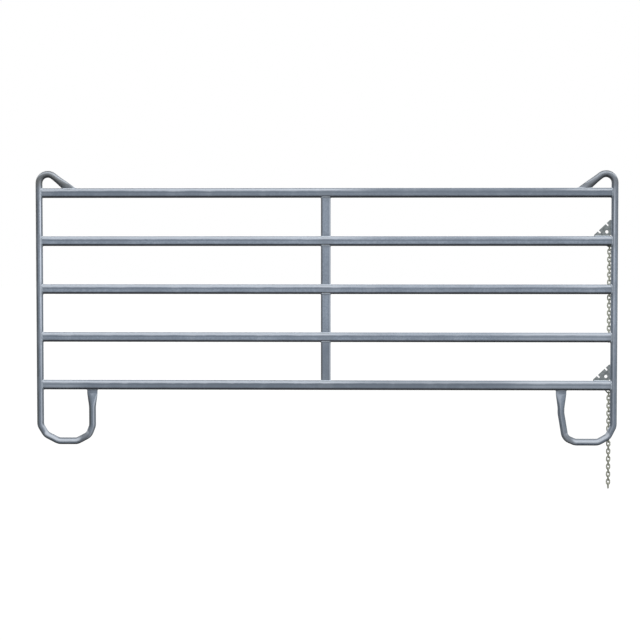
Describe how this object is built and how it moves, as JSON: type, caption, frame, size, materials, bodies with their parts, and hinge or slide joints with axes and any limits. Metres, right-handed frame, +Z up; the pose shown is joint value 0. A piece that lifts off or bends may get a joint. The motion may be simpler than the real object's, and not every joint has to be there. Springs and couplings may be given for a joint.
{
  "type": "horse fence panel",
  "caption": "Galvanised tubular corral panel: flat-oval rails between bent end hoops with carrying tops and feet, centre struts, slotted plates and hanging coupling chains.",
  "frame": {"origin": "middle of the panel's length and thickness, on the ground line under both feet", "axes": "+X along the panel towards the chain end, +Y towards the back, where the chains hang, +Z up"},
  "size_m": [3.6, 0.0821, 1.9726],
  "materials": {
    "galvanised_tube": "hot-dip zinc, satin, faint spangle",
    "galvanised_plate": "hot-dip zinc, dull and slightly rough",
    "galvanised_chain": "zinc, dull, slightly weathered"
  },
  "bodies": {
    "panel_frame": {"left_end_hoop": "galvanised_tube", "right_end_hoop": "galvanised_tube", "top_rail": "galvanised_tube", "second_rail": "galvanised_tube", "middle_rail": "galvanised_tube", "fourth_rail": "galvanised_tube", "bottom_rail": "galvanised_tube", "centre_strut_1": "galvanised_tube", "centre_strut_2": "galvanised_tube", "centre_strut_3": "galvanised_tube", "centre_strut_4": "galvanised_tube", "upper_chain_plate": "galvanised_plate", "lower_chain_plate": "galvanised_plate", "upper_chain_staple": "galvanised_chain", "lower_chain_staple": "galvanised_chain"},
    "upper_chain_link_1": {"upper_chain_link_1": "galvanised_chain"},
    "upper_chain_links_2_to_6": {"upper_chain_links_2_to_6": "galvanised_chain"},
    "upper_chain_links_7_to_11": {"upper_chain_links_7_to_11": "galvanised_chain"},
    "upper_chain_links_12_to_16": {"upper_chain_links_12_to_16": "galvanised_chain"},
    "upper_chain_links_17_to_21": {"upper_chain_links_17_to_21": "galvanised_chain"},
    "upper_chain_links_22_to_25": {"upper_chain_links_22_to_25": "galvanised_chain"},
    "lower_chain_link_1": {"lower_chain_link_1": "galvanised_chain"},
    "lower_chain_links_2_to_6": {"lower_chain_links_2_to_6": "galvanised_chain"},
    "lower_chain_links_7_to_11": {"lower_chain_links_7_to_11": "galvanised_chain"},
    "lower_chain_links_12_to_16": {"lower_chain_links_12_to_16": "galvanised_chain"},
    "lower_chain_links_17_to_21": {"lower_chain_links_17_to_21": "galvanised_chain"},
    "lower_chain_links_22_to_25": {"lower_chain_links_22_to_25": "galvanised_chain"}
  },
  "joints": [
    {"name": "upper_chain_back_swing_1", "type": "hinge", "parent": "panel_frame", "child": "upper_chain_link_1", "pos_m": [1.7548, 0.04737, 1.2306], "axis": [1, 0, 0], "range_deg": [0, 80]},
    {"name": "upper_chain_side_swing_2", "type": "hinge", "parent": "upper_chain_link_1", "child": "upper_chain_links_2_to_6", "pos_m": [1.7548, 0.04737, 1.2069], "axis": [0, 1, 0], "range_deg": [-60, 60]},
    {"name": "upper_chain_back_swing_3", "type": "hinge", "parent": "upper_chain_links_2_to_6", "child": "upper_chain_links_7_to_11", "pos_m": [1.7548, 0.04737, 1.0884], "axis": [1, 0, 0], "range_deg": [0, 75]},
    {"name": "upper_chain_side_swing_4", "type": "hinge", "parent": "upper_chain_links_7_to_11", "child": "upper_chain_links_12_to_16", "pos_m": [1.7548, 0.04737, 0.9699], "axis": [0, 1, 0], "range_deg": [-60, 60]},
    {"name": "upper_chain_back_swing_5", "type": "hinge", "parent": "upper_chain_links_12_to_16", "child": "upper_chain_links_17_to_21", "pos_m": [1.7548, 0.04737, 0.8514], "axis": [1, 0, 0], "range_deg": [0, 75]},
    {"name": "upper_chain_side_swing_6", "type": "hinge", "parent": "upper_chain_links_17_to_21", "child": "upper_chain_links_22_to_25", "pos_m": [1.7548, 0.04737, 0.7329], "axis": [0, 1, 0], "range_deg": [-60, 60]},
    {"name": "lower_chain_back_swing_1", "type": "hinge", "parent": "panel_frame", "child": "lower_chain_link_1", "pos_m": [1.7548, 0.03863, 0.3237], "axis": [1, 0, 0], "range_deg": [0, 80]},
    {"name": "lower_chain_side_swing_2", "type": "hinge", "parent": "lower_chain_link_1", "child": "lower_chain_links_2_to_6", "pos_m": [1.7548, 0.03863, 0.3], "axis": [0, 1, 0], "range_deg": [-60, 60]},
    {"name": "lower_chain_back_swing_3", "type": "hinge", "parent": "lower_chain_links_2_to_6", "child": "lower_chain_links_7_to_11", "pos_m": [1.7548, 0.03863, 0.1815], "axis": [1, 0, 0], "range_deg": [0, 75]},
    {"name": "lower_chain_side_swing_4", "type": "hinge", "parent": "lower_chain_links_7_to_11", "child": "lower_chain_links_12_to_16", "pos_m": [1.7548, 0.03863, 0.063], "axis": [0, 1, 0], "range_deg": [-60, 60]},
    {"name": "lower_chain_back_swing_5", "type": "hinge", "parent": "lower_chain_links_12_to_16", "child": "lower_chain_links_17_to_21", "pos_m": [1.7548, 0.03863, -0.0555], "axis": [1, 0, 0], "range_deg": [0, 75]},
    {"name": "lower_chain_side_swing_6", "type": "hinge", "parent": "lower_chain_links_17_to_21", "child": "lower_chain_links_22_to_25", "pos_m": [1.7548, 0.03863, -0.174], "axis": [0, 1, 0], "range_deg": [-60, 60]}
  ]
}
